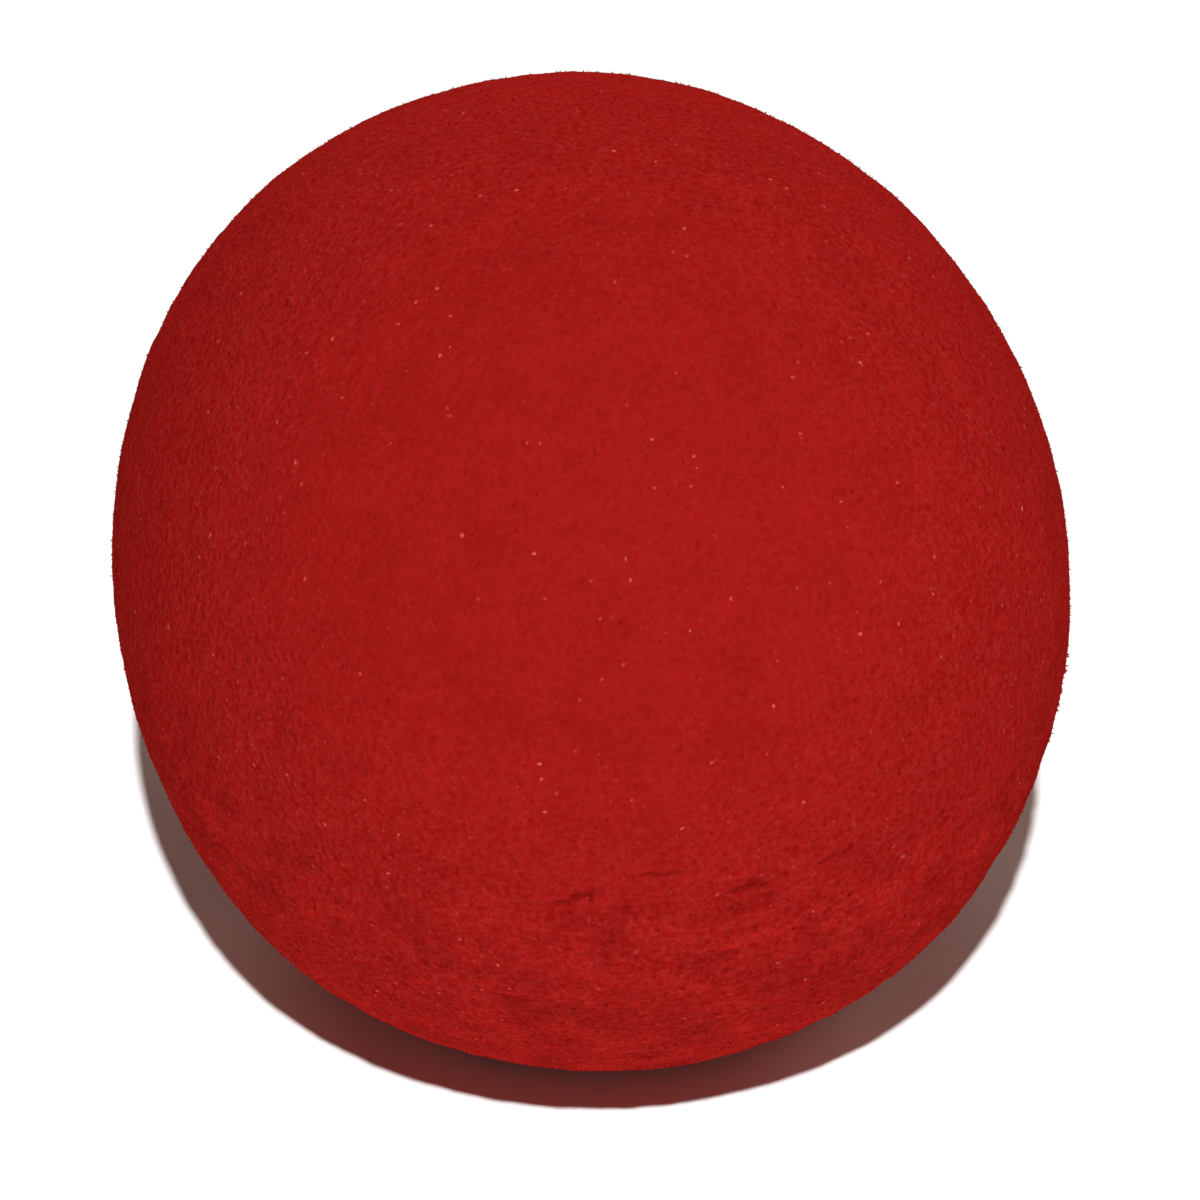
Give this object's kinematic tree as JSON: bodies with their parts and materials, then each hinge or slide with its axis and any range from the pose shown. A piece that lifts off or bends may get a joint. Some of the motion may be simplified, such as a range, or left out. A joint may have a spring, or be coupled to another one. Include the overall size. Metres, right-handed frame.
{
  "type": "foam clown nose",
  "caption": "Soft red foam clown nose: a slightly oval ball, cut flat at the back, with a round mouth and a deep pocket for the wearer's nose.",
  "frame": {"origin": "centre of the flat back, in the middle of the mouth", "axes": "+Z towards the front of the nose, +Y along the longer width of the oval ball"},
  "size_m": [0.0482, 0.0517, 0.0453],
  "materials": {
    "foam": "matte open-cell sponge, ground smooth, with a soft bloom and a few tiny glints from burst cells"
  },
  "bodies": {
    "root": {"foam_ball": "foam"}
  },
  "joints": []
}
